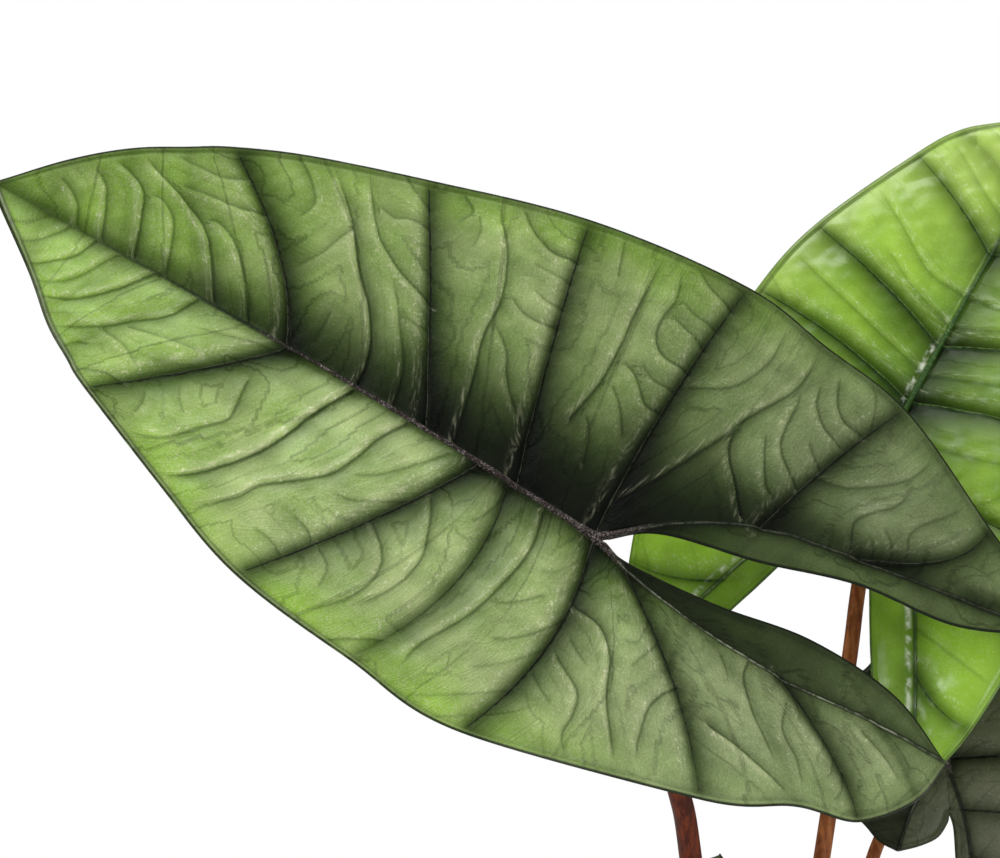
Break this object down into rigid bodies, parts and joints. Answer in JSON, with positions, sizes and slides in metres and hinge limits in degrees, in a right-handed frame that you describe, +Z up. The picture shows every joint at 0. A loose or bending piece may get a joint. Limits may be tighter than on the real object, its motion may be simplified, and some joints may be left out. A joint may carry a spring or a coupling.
{
  "type": "potted alocasia platinum",
  "caption": "Aroid house plant with ribbed, arrow-shaped leaves on long arching stalks, standing in a plain tapered nursery pot filled with soil.",
  "frame": {"origin": "middle of the pot's flat underside", "axes": "+Z up out of the pot, -Y towards the side the picture was taken from, +X to the right in the picture, so the tip of the largest leaf points to -X"},
  "size_m": [0.5298, 0.4568, 0.6028],
  "materials": {
    "pot": "matte",
    "soil": "matte",
    "stem": "matte",
    "stalk": "satin",
    "grown_leaf": "satin",
    "shaded_leaf": "satin",
    "young_leaf": "gloss"
  },
  "bodies": {
    "root": {"pot": "pot", "potting_soil": "soil", "stem_base": "stem", "rolled_new_leaf": "young_leaf", "stalk_front_left": "stalk", "leaf_front_left": "grown_leaf", "stalk_right_young": "stalk", "leaf_right_young": "young_leaf", "stalk_right_shaded": "stalk", "leaf_right_shaded": "shaded_leaf", "stalk_right_low": "stalk", "leaf_right_low": "grown_leaf", "stalk_front_low": "stalk", "leaf_front_low": "grown_leaf", "stalk_back": "stalk", "leaf_back": "grown_leaf"}
  },
  "joints": []
}
